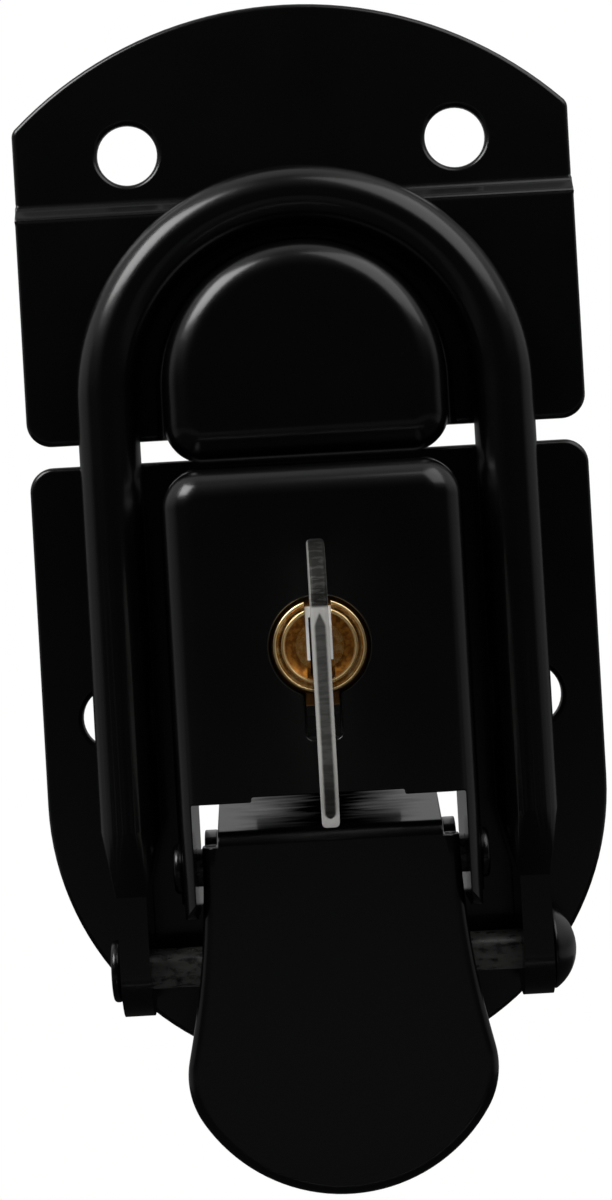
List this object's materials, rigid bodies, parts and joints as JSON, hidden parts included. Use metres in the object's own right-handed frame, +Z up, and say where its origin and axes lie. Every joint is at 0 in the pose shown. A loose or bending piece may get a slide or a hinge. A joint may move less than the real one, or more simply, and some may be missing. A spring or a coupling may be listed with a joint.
{
  "type": "chest latch",
  "caption": "Key-locking over-centre chest latch: a drawn lock box on a base plate, a thumb lever and wire bail, and an arched keeper plate with a drawn catch for the lid.",
  "frame": {"origin": "midway between the base plate's two screw holes, on the plate's back face", "axes": "+X to the right seen from the front, +Z up towards the lid, +Y into the chest; the latch stands out towards -Y"},
  "size_m": [0.0466, 0.0365, 0.0964],
  "materials": {
    "black_paint": "semi-gloss black stoved paint",
    "turned_brass": "turned",
    "plated_steel": "zinc plated",
    "guide_nylon": "white nylon",
    "key_nickel": "nickel plated, worn"
  },
  "bodies": {
    "base": {"keeper_plate": "black_paint", "lock_body": "black_paint", "lever_pin": "black_paint", "lock_shell": "turned_brass", "lock_strap": "plated_steel"},
    "lever": {"lever": "black_paint"},
    "bail_pin": {"bail_pin": "black_paint"},
    "bail": {"bail": "black_paint"},
    "plug": {"lock_plug": "turned_brass", "key_guide": "guide_nylon", "wafer_1": "turned_brass", "wafer_2": "turned_brass", "wafer_3": "turned_brass", "wafer_4": "turned_brass", "wafer_spring_1": "plated_steel", "wafer_spring_2": "plated_steel", "wafer_spring_3": "plated_steel", "wafer_spring_4": "plated_steel", "lock_cam": "plated_steel", "cam_clip": "plated_steel"},
    "bolt": {"lock_bolt": "plated_steel"},
    "key": {"key": "key_nickel"}
  },
  "joints": [
    {"name": "lever_open", "type": "hinge", "parent": "base", "child": "lever", "pos_m": [0, -0.0075, -0.0121], "axis": [-1, 0, 0], "range_deg": [0, 90]},
    {"name": "pin_turn", "type": "hinge", "parent": "lever", "child": "bail_pin", "pos_m": [0, -0.0056, -0.0203], "axis": [1, 0, 0], "range_deg": [0, 95]},
    {"name": "bail_swing", "type": "hinge", "parent": "bail_pin", "child": "bail", "pos_m": [0, -0.0056, -0.0203], "axis": [1, 0, 0], "range_deg": [0, 175]},
    {"name": "plug_turn", "type": "hinge", "parent": "base", "child": "plug", "pos_m": [0, 0, 0.0053], "axis": [0, 1, 0], "range_deg": [0, 90]},
    {"name": "bolt_slide", "type": "slide", "parent": "base", "child": "bolt", "axis": [0, 0, -1], "range_m": [0, 0.00566]},
    {"name": "key_slide", "type": "slide", "parent": "plug", "child": "key", "axis": [0, -1, 0], "range_m": [0, 0.02]}
  ],
  "couplings": [
    {"joint": "pin_turn", "follows": "lever_open", "ratio": 1},
    {"joint": "bolt_slide", "follows": "plug_turn", "m_per_rad": 0.0036013}
  ]
}
